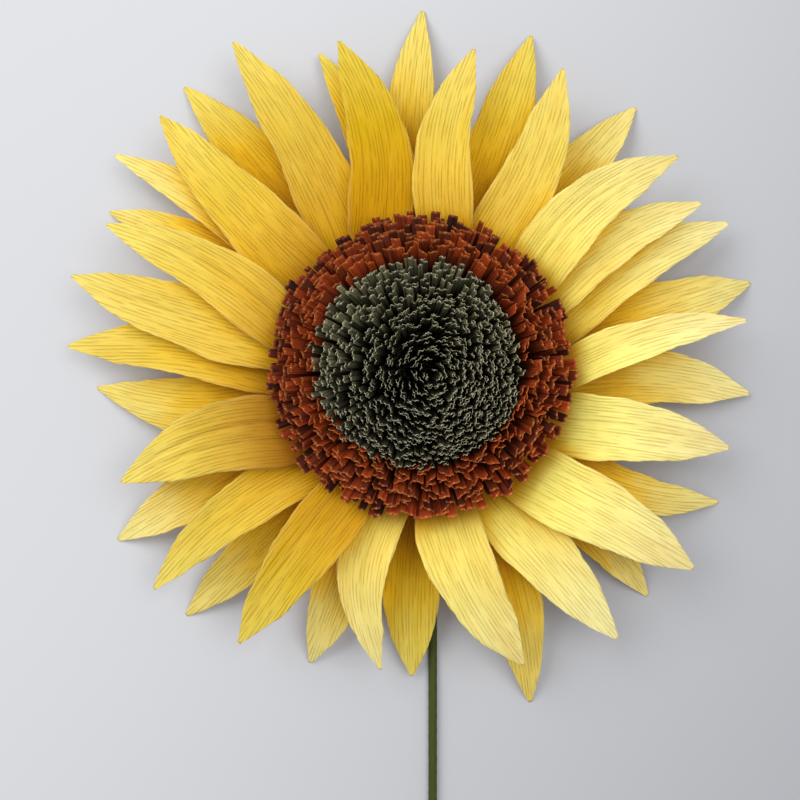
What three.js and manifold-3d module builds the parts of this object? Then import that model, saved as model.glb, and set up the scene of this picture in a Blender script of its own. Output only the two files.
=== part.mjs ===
// A giant sunflower of crepe paper, lying on its back: the face looks up (+Z), the stem runs to -Y.
// Sizes are in millimetres and angles in degrees. The head is built about the Z axis.

import * as THREE from 'three';
import { mergeVertices } from 'three/addons/utils/BufferGeometryUtils.js';
import Module from 'manifold-3d';

const wasm = await Module();
wasm.setup();

// Clearance between pieces that touch on the real flower
const gap = 0.3;

// Stem: a wire bent square behind the head, wound with paper
const wireRadius = 1.5;
const wireSides = 8;
const wrapThickness = 0.45;
const wrapSides = 10;
const stemLength = 380;
const stemX = 5;
const neckY = -4;
const bendRadius = 10;
const bareWireEnd = 1;
const wireIntoRoll = 28;

// The stem's line: the parts of it that are its straight run and its bend, and its steps in all
const straightUntil = 0.3;
const bendUntil = 0.9;
const stemSteps = 14;

// Fringed roll: a band of wound paper, and above it the cut strips that splay out
const rollRadius = 44;
const greenRadius = 37.5;
const bandHeight = 17.5;
const rollSegments = 36;
const boreSides = 10;

// Uncut part of the splayed strips, drawn as solid paper below the loose ends
const greenHeartHeight = 17;
const greenHeartLean = 21;
const greenDome = 4;
const rustHeartLength = 13;
const rustHeartLean = 56;

// Loose strips, in rings. A ring's seat is its share of the way from the roll's middle, or from the
// inside of the rust band, to the outside, and its lean is at the foot of its strips.
const stripThickness = 1.1;
const stripRoot = 2.5;
const stripRoomShare = 0.86;
const greenRings = [
  { seat: 0.11, lean: 2, strips: 4 },
  { seat: 0.32, lean: 6, strips: 9 },
  { seat: 0.54, lean: 11, strips: 18 },
  { seat: 0.75, lean: 15, strips: 24 },
  { seat: 0.93, lean: 19, strips: 30 },
];
const greenStripLength = 30;
const greenStripWidth = 6;
const rustRings = [
  { seat: 0.24, lean: 27, strips: 30 },
  { seat: 0.46, lean: 38, strips: 30 },
  { seat: 0.68, lean: 50, strips: 30 },
  { seat: 0.87, lean: 61, strips: 30 },
];
const rustStripLength = 31;
const rustStripWidth = 6;

// Calyx: a gathered cap of green paper behind the head, with short pointed sepals
const calyxThickness = 0.9;
const calyxOverhang = 1.5;
const sepalCount = 12;
const sepalLength = 17;
const sepalSharpness = 1.6;
const calyxPleats = 24;
const calyxGather = 0.5;
const sepalRise = 1.6;

// Petals: the sizes of a typical one
const petalReach = 160;
const petalWidth = 28;
const petalThickness = 0.6;
const petalRootShare = 0.5;
const petalTipWidth = 1.6;
const petalWidestAt = 0.3;
const petalShoulder = 2;
const petalTaper = 0.9;
const petalCup = 2.4;
const petalCupUntil = 0.8;
const petalCrestAt = 0.5;
const petalDroopFrom = 0.42;
const petalDroopPower = 2.2;
const petalColumns = [-1, -0.5, 0, 0.5, 1];
const petalRows = [0, 0.13, 0.28, 0.44, 0.6, 0.76, 0.9, 1];

// Petals sit in layers, 0 on top. A layer has its rise above the seat and the height of its tips.
const seatBelowBandTop = 2.5;
const layerStep = 3.3;
const layers = [
  { rise: 14, tip: 27 },
  { rise: 11, tip: 20 },
  { rise: 8, tip: 12 },
  { rise: 4.5, tip: 0 },
  { rise: 2, tip: 0 },
];

// Each petal, clockwise from the top. toward is the direction of its tip and seat that of its root,
// bow bends it sideways, and longer, wider and lift are against a typical petal.
const petals = [
  { toward: 90, seat: 91, layer: 4, bow: 6, longer: 16, wider: -1 },
  { toward: 81, seat: 72, layer: 0, bow: 10, longer: -11, wider: -1 },
  { toward: 72, seat: 76, layer: 3, bow: -2, longer: 11, wider: 2, lift: 2 },
  { toward: 65, seat: 65, layer: 1, bow: -7, longer: -5, lift: 2 },
  { toward: 51, seat: 54, layer: 4, bow: 2, longer: 5, wider: 2 },
  { toward: 40, seat: 31, layer: 0, bow: 12, longer: -7, lift: -2 },
  { toward: 31, seat: 22, layer: 1, bow: 9, longer: -9, wider: -3 },
  { toward: 26, seat: 7, layer: 2, bow: 9, longer: -1, wider: -1 },
  { toward: 15, seat: 9, layer: 3, longer: 5, wider: 3 },
  { toward: 9, seat: -14, layer: 0, bow: 7, longer: -12, wider: -9, lift: 3 },
  { toward: -4, seat: -13, layer: 4, bow: 8, longer: -2, wider: 2, lift: 3 },
  { toward: -14, seat: -30, layer: 1, bow: 2, longer: -14, wider: 2 },
  { toward: -24, seat: -29, layer: 3, bow: -12, longer: -2, wider: -4 },
  { toward: -36, seat: -54, layer: 0, bow: 2, longer: -7, wider: 4 },
  { toward: -45, seat: -46, layer: 4, bow: 5, longer: -4, wider: -1 },
  { toward: -54, seat: -66, layer: 1, longer: -6, wider: 2, lift: 2 },
  { toward: -72, seat: -68, layer: 3, bow: 6, longer: 11, wider: 2 },
  { toward: -71, seat: -85, layer: 0, bow: -6, longer: -17, wider: 3 },
  { toward: -92, seat: -92, layer: 4, bow: -2, longer: -11, wider: 5, lift: 5 },
  { toward: -98, seat: -97, layer: 1, bow: -15, longer: -17, wider: -3 },
  { toward: -111, seat: -111, layer: 3, longer: -6, wider: 2, lift: 1 },
  { toward: -124, seat: -116, layer: 0, bow: -2, longer: -7, wider: 1 },
  { toward: -134, seat: -132, layer: 4, bow: 2, longer: 8, wider: 1 },
  { toward: -141, seat: -131, layer: 1, bow: -8, longer: 4, wider: -3, lift: -2 },
  { toward: -151, seat: -156, layer: 3, longer: 12, wider: 2 },
  { toward: -160, seat: -142, layer: 0, bow: -10, longer: -13, wider: 6, lift: 2 },
  { toward: -177, seat: -177, layer: 4, bow: 12, longer: 1, wider: 4 },
  { toward: 176, seat: 188, layer: 2, bow: -7, longer: 10 },
  { toward: 165, seat: 169, layer: 1, bow: 3, longer: 12, wider: 3 },
  { toward: 155, seat: 175, layer: 0, bow: -8, longer: -1, wider: -1, lift: 2 },
  { toward: 153, seat: 153, layer: 3, bow: -4, longer: 13, wider: -1 },
  { toward: 145, seat: 149, layer: 2, bow: -8, longer: 21, wider: -6, lift: -2 },
  { toward: 136, seat: 142, layer: 1, bow: 2, longer: 12, wider: 3 },
  { toward: 130, seat: 128, layer: 4, bow: -3, longer: 22, wider: 3 },
  { toward: 120, seat: 126, layer: 2, bow: -6, longer: 18, wider: 2, lift: 8 },
  { toward: 108, seat: 117, layer: 3, bow: -13, longer: 1, wider: -3, lift: 4 },
  { toward: 104, seat: 122, layer: 1, bow: -13, longer: -3, wider: 3 },
];

// Paper and wire
const petalPaper = new THREE.MeshStandardMaterial({ color: 0xe6bf3e, roughness: 0.85, metalness: 0 });
const rustPaper = new THREE.MeshStandardMaterial({ color: 0x8c3c12, roughness: 0.9, metalness: 0 });
const greenPaper = new THREE.MeshStandardMaterial({ color: 0x4c5238, roughness: 0.9, metalness: 0 });
const leafPaper = new THREE.MeshStandardMaterial({ color: 0x667638, roughness: 0.85, metalness: 0 });
const wireMetal = new THREE.MeshStandardMaterial({ color: 0x8d8f92, roughness: 0.4, metalness: 1 });

// Heights that follow from the sizes above
const stemRadius = wireRadius + gap + wrapThickness;
const stemHeight = stemRadius * Math.cos(Math.PI / wrapSides);
const neckBase = stemHeight + bendRadius;
const calyxBase = neckBase + gap;
const rollBase = calyxBase + calyxThickness + gap;
const bandTop = rollBase + bandHeight;

const flower = new THREE.Group();

function radians(degrees) {
  return THREE.MathUtils.degToRad(degrees);
}

function facing(direction) {
  return new THREE.Vector2(Math.cos(radians(direction)), Math.sin(radians(direction)));
}

function addPiece(name, geometry, material) {
  geometry.computeVertexNormals();
  const mesh = new THREE.Mesh(geometry, material);
  mesh.name = name;
  flower.add(mesh);
}

// Joining and cutting of closed shapes
function toSolid(geometry) {
  const bare = geometry.clone();
  bare.deleteAttribute('normal');
  bare.deleteAttribute('uv');
  const merged = mergeVertices(bare, 1e-4);
  const vertProperties = new Float32Array(merged.attributes.position.array);
  const triVerts = new Uint32Array(merged.index.array);
  return new wasm.Manifold(new wasm.Mesh({ numProp: 3, vertProperties, triVerts }));
}

function toGeometry(solid) {
  const mesh = solid.getMesh();
  const geometry = new THREE.BufferGeometry();
  geometry.setAttribute('position', new THREE.BufferAttribute(new Float32Array(mesh.vertProperties), 3));
  geometry.setIndex(new THREE.BufferAttribute(new Uint32Array(mesh.triVerts), 1));
  return geometry;
}

// A thin sheet with a front and a back. Its points lie in rows, and a sheet that wraps is a ring.
function sheet(rows, thickness, wraps) {
  const rowCount = rows.length;
  const columnCount = rows[0].length;
  const corners = [];
  for (const depth of [0, thickness]) {
    for (const point of rows.flat()) {
      corners.push(point.x, point.y, point.z - depth);
    }
  }
  const backStart = rowCount * columnCount;
  const at = (row, column) => row * columnCount + (column % columnCount);
  const faces = [];
  const addWall = (from, to) => {
    faces.push(to, from, from + backStart);
    faces.push(to, from + backStart, to + backStart);
  };
  const lastRow = rowCount - 1;
  const columnSteps = wraps ? columnCount : columnCount - 1;
  for (let row = 0; row < lastRow; row += 1) {
    for (let column = 0; column < columnSteps; column += 1) {
      const near = at(row, column);
      const far = at(row + 1, column);
      const farNext = at(row + 1, column + 1);
      const nearNext = at(row, column + 1);
      faces.push(near, far, farNext, near, farNext, nearNext);
      faces.push(near + backStart, farNext + backStart, far + backStart);
      faces.push(near + backStart, nearNext + backStart, farNext + backStart);
    }
    if (!wraps) {
      addWall(at(row, 0), at(row + 1, 0));
      addWall(at(row + 1, columnSteps), at(row, columnSteps));
    }
  }
  for (let column = 0; column < columnSteps; column += 1) {
    addWall(at(lastRow, column), at(lastRow, column + 1));
    addWall(at(0, column + 1), at(0, column));
  }
  const geometry = new THREE.BufferGeometry();
  geometry.setAttribute('position', new THREE.Float32BufferAttribute(corners, 3));
  geometry.setIndex(faces);
  return geometry;
}

// Stem: straight along the floor, a quarter bend, then up the neck. Most steps fall in the bend.
class StemLine extends THREE.Curve {
  constructor(endY, topZ) {
    super();
    this.endY = endY;
    this.topZ = topZ;
  }

  getPoint(t, target = new THREE.Vector3()) {
    const bendStartY = neckY - bendRadius;
    if (t < straightUntil) {
      const share = t / straightUntil;
      return target.set(stemX, THREE.MathUtils.lerp(this.endY, bendStartY, share), stemHeight);
    }
    if (t < bendUntil) {
      const turn = ((t - straightUntil) / (bendUntil - straightUntil)) * (Math.PI / 2);
      const y = bendStartY + bendRadius * Math.sin(turn);
      return target.set(stemX, y, neckBase - bendRadius * Math.cos(turn));
    }
    const share = (t - bendUntil) / (1 - bendUntil);
    return target.set(stemX, neckY, THREE.MathUtils.lerp(neckBase, this.topZ, share));
  }

  getUtoTmapping(u) {
    return u;
  }
}

// Turned by half a side, so that the stem lies on a flat of its wrap
function polygonPoints(radius, sides) {
  const points = [];
  for (let side = 0; side < sides; side += 1) {
    const angle = (2 * Math.PI * (side + 0.5)) / sides;
    points.push(new THREE.Vector2(radius * Math.cos(angle), radius * Math.sin(angle)));
  }
  return points;
}

function addStem() {
  const wireShape = new THREE.Shape(polygonPoints(wireRadius, wireSides));
  const wireLine = new StemLine(-stemLength, rollBase + wireIntoRoll);
  const sweep = { steps: stemSteps, bevelEnabled: false };
  addPiece('stem_wire', new THREE.ExtrudeGeometry(wireShape, { ...sweep, extrudePath: wireLine }), wireMetal);

  const wrapShape = new THREE.Shape(polygonPoints(stemRadius, wrapSides));
  wrapShape.holes.push(new THREE.Path(polygonPoints(wireRadius + gap, wrapSides)));
  const wrapLine = new StemLine(bareWireEnd - stemLength, rollBase - gap);
  addPiece('stem_wrap', new THREE.ExtrudeGeometry(wrapShape, { ...sweep, extrudePath: wrapLine }), leafPaper);
}

// Calyx: three rings of points, at the stem hole, at the roll's edge and along the pointed sepals
function addCalyx() {
  const hole = stemRadius + gap;
  const top = calyxBase + calyxThickness;
  const rows = [[], [], []];
  for (let column = 0; column < 2 * calyxPleats; column += 1) {
    const angle = (180 * column) / calyxPleats;
    const out = facing(angle);
    const point = Math.abs(Math.cos(radians(sepalCount * angle) / 2)) ** sepalSharpness;
    const edge = rollRadius + calyxOverhang + sepalLength * point;
    const gather = (column % 2) * calyxGather;
    rows[0].push(new THREE.Vector3(stemX + hole * out.x, neckY + hole * out.y, top));
    rows[1].push(new THREE.Vector3(rollRadius * out.x, rollRadius * out.y, top - gather));
    rows[2].push(new THREE.Vector3(edge * out.x, edge * out.y, top - gather + sepalRise * point));
  }
  addPiece('calyx', sheet(rows, calyxThickness, true), leafPaper);
}

// Fringed rolls
function lathe(profile) {
  const points = profile.map(([radius, height]) => new THREE.Vector2(radius, height));
  return new THREE.LatheGeometry(points, rollSegments).rotateX(Math.PI / 2);
}

// A square-cut strip of paper on its ring, leaning out from the top of the band
function strip(ring, seat, index, width, length) {
  const paper = new THREE.BoxGeometry(stripThickness, width, length + stripRoot);
  paper.translate(0, 0, (length + stripRoot) / 2 - stripRoot);
  paper.rotateY(radians(ring.lean));
  paper.translate(seat, 0, bandTop);
  return paper.rotateZ((2 * Math.PI * (index + ring.turn)) / ring.strips);
}

function addStrips(heart, rings, inside, outside, width, length) {
  let solid = heart;
  rings.forEach((ring, order) => {
    const turned = { ...ring, turn: (order % 2) / 2 };
    const seat = THREE.MathUtils.lerp(inside, outside, ring.seat);
    const room = (2 * Math.PI * seat) / ring.strips;
    const fitted = Math.min(width, room * stripRoomShare);
    for (let index = 0; index < ring.strips; index += 1) {
      solid = solid.add(toSolid(strip(turned, seat, index, fitted, length)));
    }
  });
  return solid;
}

function leaned(radius, lean, length) {
  return [radius + length * Math.sin(radians(lean)), bandTop + length * Math.cos(radians(lean))];
}

function addGreenRoll() {
  const shoulder = leaned(greenRadius, greenHeartLean, greenHeartHeight);
  const heart = toSolid(lathe([
    [0, rollBase],
    [greenRadius, rollBase],
    [greenRadius, bandTop],
    shoulder,
    [shoulder[0] / 2, shoulder[1] + greenDome],
    [0, shoulder[1] + greenDome],
  ]));
  const bore = new THREE.CylinderGeometry(wireRadius + gap, wireRadius + gap, 2 * (wireIntoRoll + gap), boreSides);
  bore.rotateX(Math.PI / 2).translate(stemX, neckY, rollBase);
  const fringed = addStrips(heart, greenRings, 0, greenRadius, greenStripWidth, greenStripLength);
  addPiece('green_fringe_roll', toGeometry(fringed.subtract(toSolid(bore))), greenPaper);
}

function addRustRoll() {
  const inner = greenRadius + gap;
  const innerShoulder = leaned(inner, greenHeartLean, greenHeartHeight);
  const outerShoulder = leaned(rollRadius, rustHeartLean, rustHeartLength);
  const heart = toSolid(lathe([
    [inner, rollBase],
    [rollRadius, rollBase],
    [rollRadius, bandTop],
    outerShoulder,
    innerShoulder,
    [inner, bandTop],
    [inner, rollBase],
  ]));
  const fringed = addStrips(heart, rustRings, inner, rollRadius, rustStripWidth, rustStripLength);
  addPiece('rust_fringe_roll', toGeometry(fringed), rustPaper);
}

// Petals
function petalHalfWidth(share, width) {
  const narrowest = petalTipWidth / 2;
  if (share < petalWidestAt) {
    const swell = Math.sin((Math.PI / 2) * (share / petalWidestAt));
    return (width / 2) * THREE.MathUtils.lerp(petalRootShare, 1, swell);
  }
  const beyond = (share - petalWidestAt) / (1 - petalWidestAt);
  return Math.max(narrowest, (width / 2) * (1 - beyond ** petalShoulder) ** petalTaper);
}

function petalHeight(share, seatZ, layer, tipZ) {
  const rise = layer.rise * Math.sin((Math.PI / 2) * Math.min(1, share / petalCrestAt));
  const late = Math.max(0, (share - petalDroopFrom) / (1 - petalDroopFrom)) ** petalDroopPower;
  return seatZ + rise - (seatZ + layer.rise - tipZ) * late;
}

function addPetal(petal, name) {
  const layer = layers[petal.layer];
  const width = petalWidth + (petal.wider ?? 0);
  const reach = petalReach + (petal.longer ?? 0);
  const seatZ = bandTop - seatBelowBandTop - petal.layer * layerStep;
  const tipZ = layer.tip + (petal.lift ?? 0) + petalThickness;
  const outward = facing(petal.seat);
  const seatRadius = rollRadius + gap;
  const root = outward.clone().multiplyScalar(seatRadius);
  const along = facing(petal.toward).multiplyScalar(reach).sub(root);
  const across = new THREE.Vector2(-along.y, along.x).normalize();

  // A petal that leaves its seat at a slant is set out until its root, or the root's near corner, touches
  const slant = Math.abs(across.dot(outward));
  const square = Math.sqrt(1 - slant ** 2);
  const rootHalf = petalHalfWidth(0, width);
  const cornerOut = slant * rootHalf + Math.sqrt(seatRadius ** 2 - (square * rootHalf) ** 2);
  const middleOut = seatRadius / square;
  const touchesAtCorner = seatRadius * slant > rootHalf * square;
  root.setLength(touchesAtCorner ? cornerOut : middleOut);

  const rows = petalRows.map((share) => {
    const halfWidth = petalHalfWidth(share, width);
    const spine = root.clone().addScaledVector(along, share);
    spine.addScaledVector(across, (petal.bow ?? 0) * Math.sin(Math.PI * share));
    const height = petalHeight(share, seatZ, layer, tipZ);
    const cup = petalCup * Math.sin(Math.PI * Math.min(1, share / petalCupUntil));
    return petalColumns.map((side) => {
      const point = spine.clone().addScaledVector(across, halfWidth * side);
      return new THREE.Vector3(point.x, point.y, height + cup * side * side);
    });
  });
  addPiece(name, sheet(rows, petalThickness, false), petalPaper);
}

addStem();
addCalyx();
addGreenRoll();
addRustRoll();
petals.forEach((petal, index) => {
  addPetal(petal, `petal_${String(index + 1).padStart(2, '0')}`);
});

// The origin is under the middle of the whole flower, on the surface that it lies on
flower.updateMatrixWorld(true);
const box = new THREE.Box3().setFromObject(flower);
const middle = box.getCenter(new THREE.Vector3());
flower.position.set(-middle.x, -middle.y, -box.min.z);

export default flower;
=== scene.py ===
import math

import bpy
import numpy as np
from mathutils import Matrix, Vector, noise
from mathutils.bvhtree import BVHTree


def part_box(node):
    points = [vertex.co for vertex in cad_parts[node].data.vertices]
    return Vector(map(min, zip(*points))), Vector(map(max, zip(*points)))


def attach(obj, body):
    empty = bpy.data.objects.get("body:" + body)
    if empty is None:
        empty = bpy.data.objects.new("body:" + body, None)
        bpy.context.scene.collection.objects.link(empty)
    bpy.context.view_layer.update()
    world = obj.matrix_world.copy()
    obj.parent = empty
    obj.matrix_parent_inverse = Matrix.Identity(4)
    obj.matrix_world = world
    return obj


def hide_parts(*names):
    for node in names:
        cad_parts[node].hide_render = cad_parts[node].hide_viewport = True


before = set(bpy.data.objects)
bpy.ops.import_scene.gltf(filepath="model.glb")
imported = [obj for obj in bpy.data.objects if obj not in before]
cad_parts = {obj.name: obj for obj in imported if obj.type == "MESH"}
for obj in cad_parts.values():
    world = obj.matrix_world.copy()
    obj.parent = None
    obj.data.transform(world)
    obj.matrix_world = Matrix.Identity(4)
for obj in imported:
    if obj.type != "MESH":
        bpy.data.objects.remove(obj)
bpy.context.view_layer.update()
mm = 0.001

# The head's axis runs up through the middle of the calyx
calyxLow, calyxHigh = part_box("calyx")
headX = (calyxLow.x + calyxHigh.x) / 2
headY = (calyxLow.y + calyxHigh.y) / 2
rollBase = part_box("green_fringe_roll")[0].z


# Node trees, for materials and for Geometry Nodes

class Sock:
    def __init__(self, graph, socket):
        self.graph = graph
        self.socket = socket

    def math(self, operation, *others):
        return self.graph.node("ShaderNodeMath", {"operation": operation}, {0: self, **dict(enumerate(others, 1))})

    def __add__(self, other):
        return self.math("ADD", other)

    def __radd__(self, other):
        return self.math("ADD", other)

    def __sub__(self, other):
        return self.math("SUBTRACT", other)

    def __rsub__(self, other):
        return self.graph.node("ShaderNodeMath", {"operation": "SUBTRACT"}, {0: other, 1: self})

    def __mul__(self, other):
        return self.math("MULTIPLY", other)

    def __rmul__(self, other):
        return self.math("MULTIPLY", other)

    def __truediv__(self, other):
        return self.math("DIVIDE", other)

    def __rtruediv__(self, other):
        return self.graph.node("ShaderNodeMath", {"operation": "DIVIDE"}, {0: other, 1: self})

    def __pow__(self, other):
        return self.math("POWER", other)


class Graph:
    def __init__(self, tree):
        self.tree = tree

    def put(self, target, value):
        if isinstance(value, Sock):
            self.tree.links.new(value.socket, target)
        else:
            target.default_value = value

    def node(self, kind, settings=None, values=None, out=0):
        made = self.tree.nodes.new(kind)
        for key, value in (settings or {}).items():
            if key == "stops":
                ramp = made.color_ramp
                while len(ramp.elements) < len(value):
                    ramp.elements.new(1.0)
                for element, (place, colour) in zip(ramp.elements, value):
                    element.position = place
                    element.color = colour
            else:
                setattr(made, key, value)
        for key, value in (values or {}).items():
            self.put(made.inputs[key], value)
        return Sock(self, made.outputs[out]) if made.outputs else None


def linear(red, green, blue):
    def one(value):
        value = value / 255
        return value / 12.92 if value <= 0.04045 else ((value + 0.055) / 1.055) ** 2.4
    return (one(red), one(green), one(blue), 1.0)


def newMaterial(name):
    material = bpy.data.materials.new(name)
    material.use_nodes = True
    material.node_tree.nodes.clear()
    return material, Graph(material.node_tree)


def attribute(graph, name):
    return graph.node("ShaderNodeAttribute", {"attribute_name": name, "attribute_type": "GEOMETRY"}, out="Fac")


def mixColour(graph, factor, first, second):
    node = graph.tree.nodes.new("ShaderNodeMix")
    node.data_type = "RGBA"
    graph.put(node.inputs["Factor"], factor)
    graph.put(node.inputs["A"], first)
    graph.put(node.inputs["B"], second)
    return Sock(graph, node.outputs["Result"])


def smoothStep(graph, value, low, high):
    return graph.node("ShaderNodeMapRange", {"interpolation_type": "SMOOTHSTEP"},
                      {"Value": value, "From Min": low, "From Max": high})


def splitVector(graph, vector):
    parts = graph.tree.nodes.new("ShaderNodeSeparateXYZ")
    graph.put(parts.inputs[0], vector)
    return [Sock(graph, output) for output in parts.outputs]


# The translucent part lets some of the light behind thin paper through
def finish(graph, principled, translucent=None, share=0.0):
    surface = principled
    if translucent is not None:
        surface = graph.node("ShaderNodeMixShader", None, {0: share, 1: principled, 2: translucent})
    graph.node("ShaderNodeOutputMaterial", None, {"Surface": surface})


# Paper patterns follow a UV map in metres, u across the paper and v along it; scales are in waves for each metre

def paperNoise(graph, across, along, detail, roughness=0.5):
    uv = graph.node("ShaderNodeUVMap", {"uv_map": "paper"})
    scaled = graph.node("ShaderNodeVectorMath", {"operation": "MULTIPLY"}, {0: uv, 1: (across, along, 1)})
    return graph.node("ShaderNodeTexNoise", None, {
        "Vector": scaled, "Scale": 1.0, "Detail": detail, "Roughness": roughness})


# Crepe: fine lengthwise grain, and broader waves of it
def crepeHeight(graph, fine, coarse, stretch):
    lines = paperNoise(graph, fine, fine * stretch, 3.0, 0.6)
    waves = paperNoise(graph, coarse, coarse * stretch, 2.0)
    return lines, waves


def crepeBump(graph, strength, distance, height):
    return graph.node("ShaderNodeBump", None, {"Strength": strength, "Distance": distance, "Height": height})


# Thin creases where a drawn-out noise passes its middle value
def creases(graph, across, stretch, width):
    cloud = paperNoise(graph, across, across * stretch, 2.0, 0.55)
    return smoothStep(graph, (cloud - 0.5).math("ABSOLUTE"), width, 0.0)


ruledForm = {
    "spacing": 1.35 * mm,
    "wander": 2.4,
    "wanderScale": (180, 13),
    "lineWidth": 0.22,  # as a share of the spacing
    "strokeScale": (640, 70),
    "strokeFrom": 0.36,
    "strokeTo": 0.56,
}


# Thin lines along the paper at an even spacing that wanders a little, each broken into long strokes
def ruledLines(graph):
    form = ruledForm
    u = splitVector(graph, graph.node("ShaderNodeUVMap", {"uv_map": "paper"}))[0]
    phase = u / form["spacing"] + paperNoise(graph, *form["wanderScale"], 1.0) * form["wander"]
    gap = (phase.math("FRACT") - 0.5).math("ABSOLUTE")
    strokes = smoothStep(graph, paperNoise(graph, *form["strokeScale"], 1.0), form["strokeFrom"], form["strokeTo"])
    return smoothStep(graph, gap, form["lineWidth"], form["lineWidth"] * 0.25) * strokes


# Meshes

def addMesh(name, points, faces, uvs, attributes, smooth=True):
    mesh = bpy.data.meshes.new(name)
    mesh.from_pydata([tuple(p) for p in points], [], faces)
    layer = mesh.uv_layers.new(name="paper")
    index = np.zeros(len(mesh.loops), np.int32)
    mesh.loops.foreach_get("vertex_index", index)
    layer.data.foreach_set("uv", np.asarray(uvs, np.float32)[index].ravel())
    for key, values in attributes.items():
        mesh.attributes.new(key, "FLOAT", "POINT").data.foreach_set("value", np.asarray(values, np.float32))
    mesh.polygons.foreach_set("use_smooth", [smooth] * len(mesh.polygons))
    mesh.validate()
    mesh.update()
    piece = bpy.data.objects.new(name, mesh)
    bpy.context.scene.collection.objects.link(piece)
    return piece


# Faces of a closed sheet of paper: its top grid of points, then its back grid, then the edges between them
def paperFaces(rowCount, columnCount, wraps=False):
    faces = []
    back = rowCount * columnCount
    steps = columnCount if wraps else columnCount - 1

    def at(row, column):
        return row * columnCount + column % columnCount

    for row in range(rowCount - 1):
        for column in range(steps):
            a, b = at(row, column), at(row + 1, column)
            c, d = at(row + 1, column + 1), at(row, column + 1)
            faces.append((a, b, c, d))
            faces.append((d + back, c + back, b + back, a + back))
        if not wraps:
            a, b = at(row, 0), at(row + 1, 0)
            faces.append((b, a, a + back, b + back))
            a, b = at(row, steps), at(row + 1, steps)
            faces.append((a, b, b + back, a + back))
    for column in range(steps):
        a, b = at(0, column), at(0, column + 1)
        faces.append((a, b, b + back, a + back))
        a, b = at(rowCount - 1, column), at(rowCount - 1, column + 1)
        faces.append((b, a, a + back, b + back))
    return faces


# Unit normals of a grid of points (rows, columns, xyz), turned upwards
def gridNormals(grid):
    across = np.gradient(grid, axis=1)
    along = np.gradient(grid, axis=0)
    normal = np.cross(along, across)
    normal /= np.maximum(np.linalg.norm(normal, axis=2, keepdims=True), 1e-12)
    if normal[..., 2].mean() < 0:
        normal = -normal
    return normal


# Rows of weights that carry values at places to the wanted places, through every one of them
def cubicWeights(places, wanted):
    count = len(places)
    weights = np.zeros((len(wanted), count))
    for row, value in enumerate(wanted):
        right = min(max(int(np.searchsorted(places, value, side="right")), 1), count - 1)
        left = right - 1
        span = places[right] - places[left]
        t = min(max((value - places[left]) / span, 0.0), 1.0)
        h00, h10 = 2 * t**3 - 3 * t**2 + 1, t**3 - 2 * t**2 + t
        h01, h11 = -2 * t**3 + 3 * t**2, t**3 - t**2
        weights[row, left] += h00
        weights[row, right] += h01
        for spot, hermite in ((left, h10), (right, h11)):
            low, high = max(spot - 1, 0), min(spot + 1, count - 1)
            slope = hermite * span / (places[high] - places[low])
            weights[row, high] += slope
            weights[row, low] -= slope
    return weights


# Petals: each is a fine crepe sheet over its solid

petalLook = {
    "rows": 84,
    "columns": 29,
    "rowCrowding": 0.92,  # under 1 puts more rows near the tip
    "thickness": 0.35 * mm,
    "raggedEdge": 0.35 * mm,
    "raggedWaves": (26, 70),  # waves along one petal, coarse and fine
    "ruffle": 1.1 * mm,
    "ruffleWaves": 6.5,
    "pleatDepth": 0.16 * mm,
    "pleatSpacing": 3.1 * mm,
    "foldWidth": 1.1,  # in mm, as the folds' depths are
    "flutter": 1.9 * mm,
    "flutterWaves": 5.5,
    "crown": 0.35 * mm,
    "tipFullness": 0.14,
    "fullPlace": 0.84,
    "fullWidth": 0.15,
    "bendsUpTo": 1.2 * mm,  # lower points are lifted where the paper would cut the floor
    "floorGap": 0.02 * mm,
    "coverRays": ((0.45, 5), (0.85, 7), (1.2, 7)),  # tilt from upright, and how many rays round
    "coverStep": 4,
    "coverLift": 0.8 * mm,
    "coverReach": 42 * mm,
    "rollReach": 13 * mm,  # farther off, the ring hides nothing
    "shadowSide": -0.5,  # the way the ring's shadow falls, in radians from +X
    "shadowEnd": 78 * mm,
    "shadowWidth": 11 * mm,
    "shadowDepth": 0.8,
    "paperWidth": 0.85,  # the crepe's u for each metre across, since pleats take up paper
}
# Petals with a deep lengthwise fold: where it lies across the petal, from -1 to 1, and its depth in mm
foldedPetals = {
    "petal_05": [(-0.3, 0.9), (0.35, 0.7)],
    "petal_06": [(-0.45, 0.8), (0.0, 1.1), (0.4, 0.8)],
    "petal_26": [(-0.25, 1.7), (0.3, 1.1)],
    "petal_30": [(-0.1, 1.8), (0.4, 0.9)],
    "petal_12": [(0.15, 0.8)],
    "petal_16": [(-0.2, 0.9)],
    "petal_20": [(0.1, 1.0)],
    "petal_22": [(-0.35, 0.7)],
    "petal_29": [(0.05, 0.9)],
    "petal_35": [(0.2, 0.8)],
}
# How pale each petal is painted, from 0, deep gold, to 1, lemon: partly the paper's own tone, partly painted light,
# paler on the right where light falls on the petals and deeper on the left and top
paperToneAndLight = {
    "petal_01": 0.26, "petal_02": 0.24, "petal_03": 0.1, "petal_04": 0.3, "petal_05": 0.5, "petal_06": 0.75,
    "petal_07": 0.8, "petal_08": 0.78, "petal_09": 0.6, "petal_10": 0.95, "petal_11": 0.85, "petal_12": 1.0,
    "petal_13": 0.6, "petal_14": 0.95, "petal_15": 0.6, "petal_16": 0.9, "petal_17": 0.3, "petal_18": 0.72,
    "petal_19": 0.12, "petal_20": 0.62, "petal_21": 0.6, "petal_22": 0.1, "petal_23": 0.4, "petal_24": 0.22,
    "petal_25": 0.62, "petal_26": 0.24, "petal_27": 0.4, "petal_28": 0.22, "petal_29": 0.3, "petal_30": 0.28,
    "petal_31": 0.35, "petal_32": 0.5, "petal_33": 0.16, "petal_34": 0.14, "petal_35": 0.16, "petal_36": 0.12,
    "petal_37": 0.0,
}
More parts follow.
